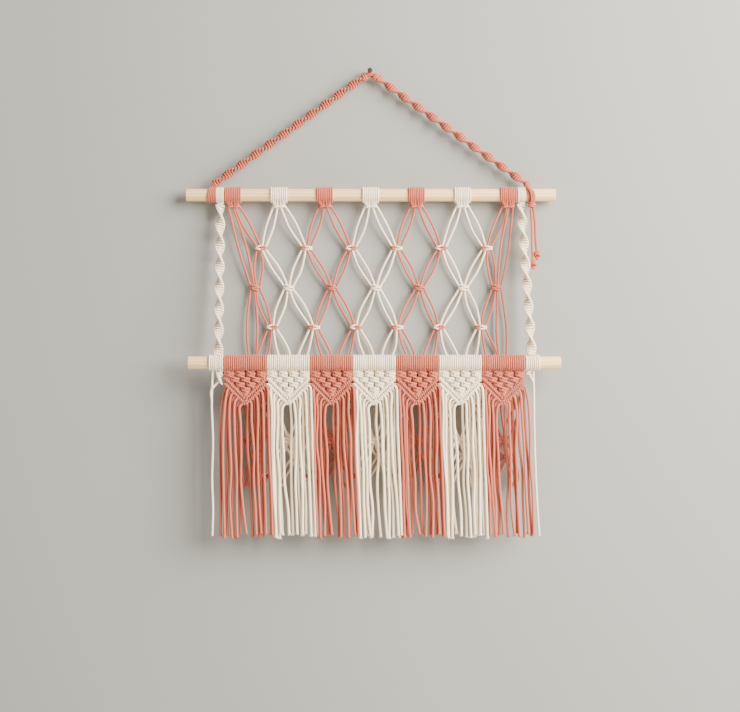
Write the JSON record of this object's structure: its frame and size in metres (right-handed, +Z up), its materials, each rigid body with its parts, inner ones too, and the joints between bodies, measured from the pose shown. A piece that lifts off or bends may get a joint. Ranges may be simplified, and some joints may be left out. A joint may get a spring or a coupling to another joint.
{
  "type": "macrame wall hanging",
  "caption": "Macrame wall hanging on two wooden dowels, with a knotted net that folds up into a pocket, knotted pointed flaps with fringes and a twisted cord hanger.",
  "frame": {"origin": "underside of the hanger's bight, where it bears on its nail", "axes": "+X to the right along the dowels, +Y towards the wall, +Z up"},
  "size_m": [0.5646, 0.0486, 0.7056],
  "materials": {
    "cord_terracotta": "matte cotton",
    "cord_cream": "matte cotton",
    "dowel_pine": "raw sanded"
  },
  "bodies": {
    "hanger": {"hanger_apex": "cord_terracotta", "hanger_left": "cord_terracotta", "hanger_right": "cord_terracotta", "hanger_left_wrap": "cord_terracotta", "hanger_right_wrap": "cord_terracotta", "tail_inner": "cord_terracotta", "tail_outer": "cord_terracotta", "tail_inner_knot": "cord_terracotta", "tail_outer_knot": "cord_terracotta"},
    "upper": {"upper_dowel": "dowel_pine", "top_knot_1": "cord_terracotta", "top_knot_2": "cord_cream", "top_knot_3": "cord_terracotta", "top_knot_4": "cord_cream", "top_knot_5": "cord_terracotta", "top_knot_6": "cord_cream", "top_knot_7": "cord_terracotta", "net_back_1": "cord_terracotta", "net_back_2": "cord_cream", "net_back_3": "cord_terracotta", "net_back_4": "cord_cream", "net_back_5": "cord_terracotta", "net_back_6": "cord_cream", "net_back_7": "cord_terracotta"},
    "front": {"lower_dowel": "dowel_pine", "side_sinnet_left": "cord_cream", "side_sinnet_right": "cord_cream", "side_bottom_wrap_left": "cord_cream", "side_bottom_wrap_right": "cord_cream", "side_strand_left": "cord_cream", "side_strand_right": "cord_cream", "front_wrap_1": "cord_terracotta", "front_wrap_2": "cord_cream", "front_wrap_3": "cord_terracotta", "front_wrap_4": "cord_cream", "front_wrap_5": "cord_terracotta", "front_wrap_6": "cord_cream", "front_wrap_7": "cord_terracotta"},
    "pocket": {"net_front_1": "cord_terracotta", "net_front_2": "cord_cream", "net_front_3": "cord_terracotta", "net_front_4": "cord_cream", "net_front_5": "cord_terracotta", "net_front_6": "cord_cream", "net_front_7": "cord_terracotta"},
    "flap_1": {"knot_panel_1": "cord_terracotta", "fringe_1": "cord_terracotta"},
    "flap_2": {"knot_panel_2": "cord_cream", "fringe_2": "cord_cream"},
    "flap_3": {"knot_panel_3": "cord_terracotta", "fringe_3": "cord_terracotta"},
    "flap_4": {"knot_panel_4": "cord_cream", "fringe_4": "cord_cream"},
    "flap_5": {"knot_panel_5": "cord_terracotta", "fringe_5": "cord_terracotta"},
    "flap_6": {"knot_panel_6": "cord_cream", "fringe_6": "cord_cream"},
    "flap_7": {"knot_panel_7": "cord_terracotta", "fringe_7": "cord_terracotta"}
  },
  "joints": [
    {"name": "loop_fold", "type": "hinge", "parent": "hanger", "child": "upper", "pos_m": [0, -0.006, -0.176], "axis": [-1, 0, 0], "range_deg": [0, 90]},
    {"name": "pocket_open", "type": "hinge", "parent": "upper", "child": "front", "pos_m": [0, -0.006, -0.176], "axis": [-1, 0, 0], "range_deg": [0, 6]},
    {"name": "pocket_follow", "type": "hinge", "parent": "front", "child": "pocket", "pos_m": [0.007, -0.03, -0.43], "axis": [-1, 0, 0], "range_deg": [-14.4, 0]},
    {"name": "flap_1_lift", "type": "hinge", "parent": "front", "child": "flap_1", "pos_m": [0.007, -0.03, -0.43], "axis": [-1, 0, 0], "range_deg": [0, 35]},
    {"name": "flap_2_lift", "type": "hinge", "parent": "front", "child": "flap_2", "pos_m": [0.007, -0.03, -0.43], "axis": [-1, 0, 0], "range_deg": [0, 35]},
    {"name": "flap_3_lift", "type": "hinge", "parent": "front", "child": "flap_3", "pos_m": [0.007, -0.03, -0.43], "axis": [-1, 0, 0], "range_deg": [0, 35]},
    {"name": "flap_4_lift", "type": "hinge", "parent": "front", "child": "flap_4", "pos_m": [0.007, -0.03, -0.43], "axis": [-1, 0, 0], "range_deg": [0, 35]},
    {"name": "flap_5_lift", "type": "hinge", "parent": "front", "child": "flap_5", "pos_m": [0.007, -0.03, -0.43], "axis": [-1, 0, 0], "range_deg": [0, 35]},
    {"name": "flap_6_lift", "type": "hinge", "parent": "front", "child": "flap_6", "pos_m": [0.007, -0.03, -0.43], "axis": [-1, 0, 0], "range_deg": [0, 35]},
    {"name": "flap_7_lift", "type": "hinge", "parent": "front", "child": "flap_7", "pos_m": [0.007, -0.03, -0.43], "axis": [-1, 0, 0], "range_deg": [0, 35]}
  ],
  "couplings": [
    {"joint": "pocket_follow", "follows": "pocket_open", "ratio": -2.37}
  ]
}
